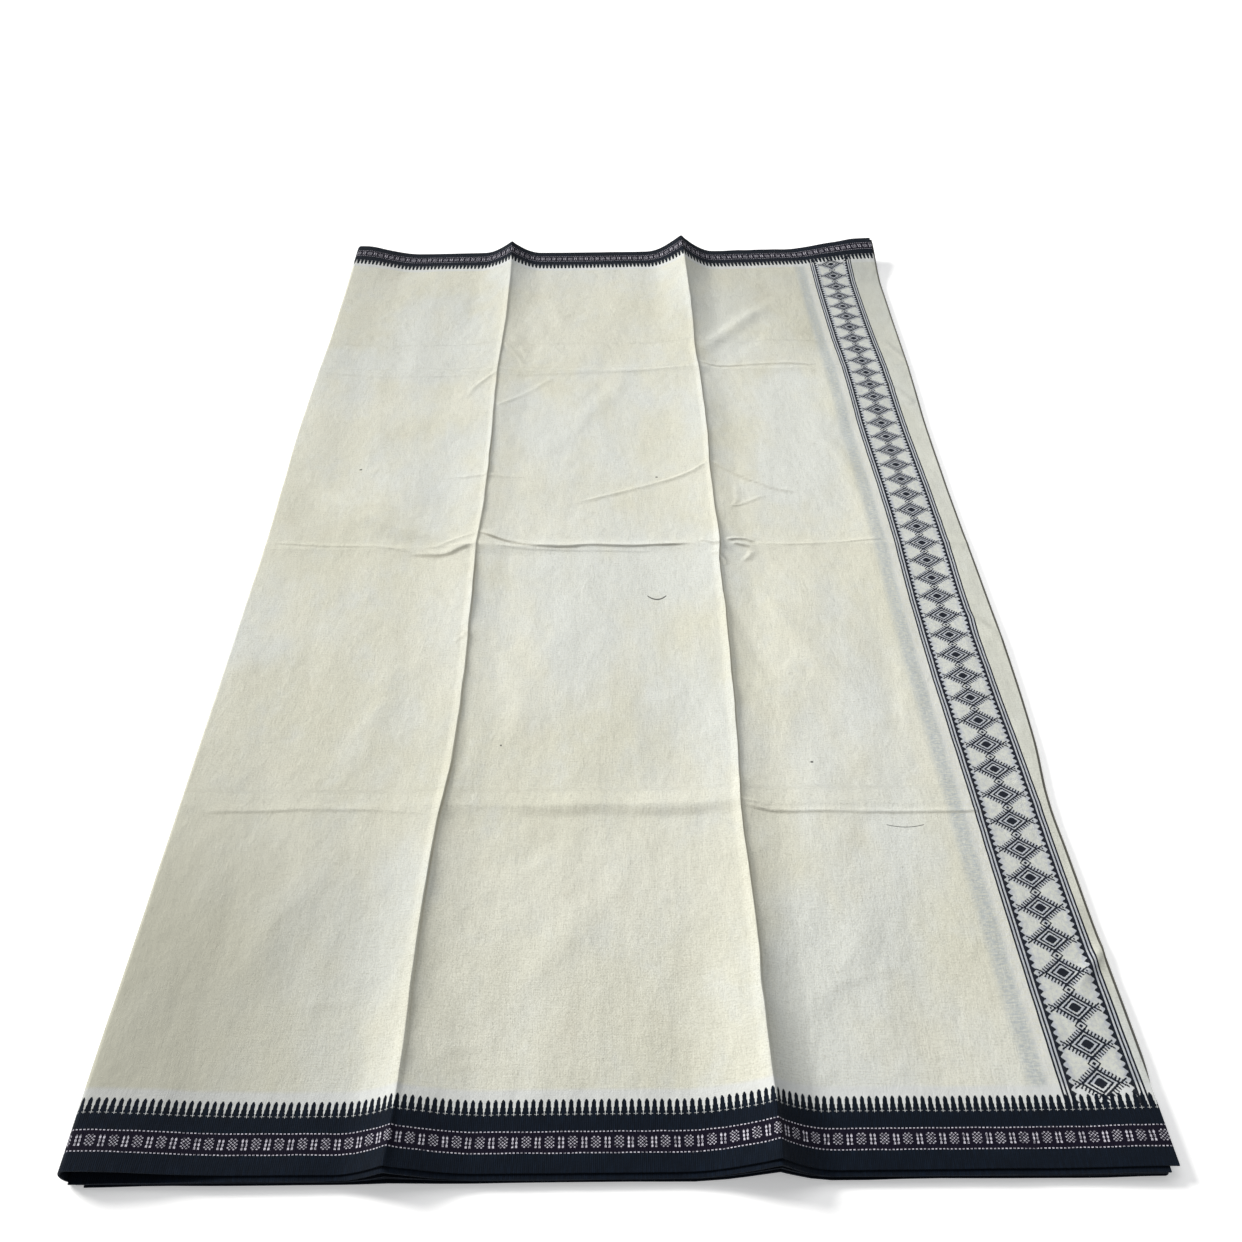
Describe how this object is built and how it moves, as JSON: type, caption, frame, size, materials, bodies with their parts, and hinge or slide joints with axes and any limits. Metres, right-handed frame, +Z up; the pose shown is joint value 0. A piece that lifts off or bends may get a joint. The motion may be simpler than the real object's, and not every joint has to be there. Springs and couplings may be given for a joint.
{
  "type": "folded dhoti cloth",
  "caption": "Cotton dhoti folded into a long rectangle and laid flat, with dark woven borders along both selvedges and a figured end band.",
  "frame": {"origin": "middle of the laid cloth, on the surface it rests on", "axes": "+X from the left fold to the cloth's woven end, +Y from the near selvedge to the far one, +Z up"},
  "size_m": [0.7234, 1.2736, 0.03],
  "materials": {
    "cream_cotton": "unbleached plain weave cotton, matt",
    "border_weave": "ribbed navy black cotton with small white figures, matt",
    "band_weave": "white cotton figured in black diamonds, matt",
    "under_cotton": "unbleached plain weave cotton, matt"
  },
  "bodies": {
    "root": {"field": "cream_cotton", "border_near": "border_weave", "border_far": "border_weave", "end_band": "band_weave", "end_margin": "cream_cotton", "stretch_beneath": "under_cotton", "hidden_layers": "under_cotton"}
  },
  "joints": []
}
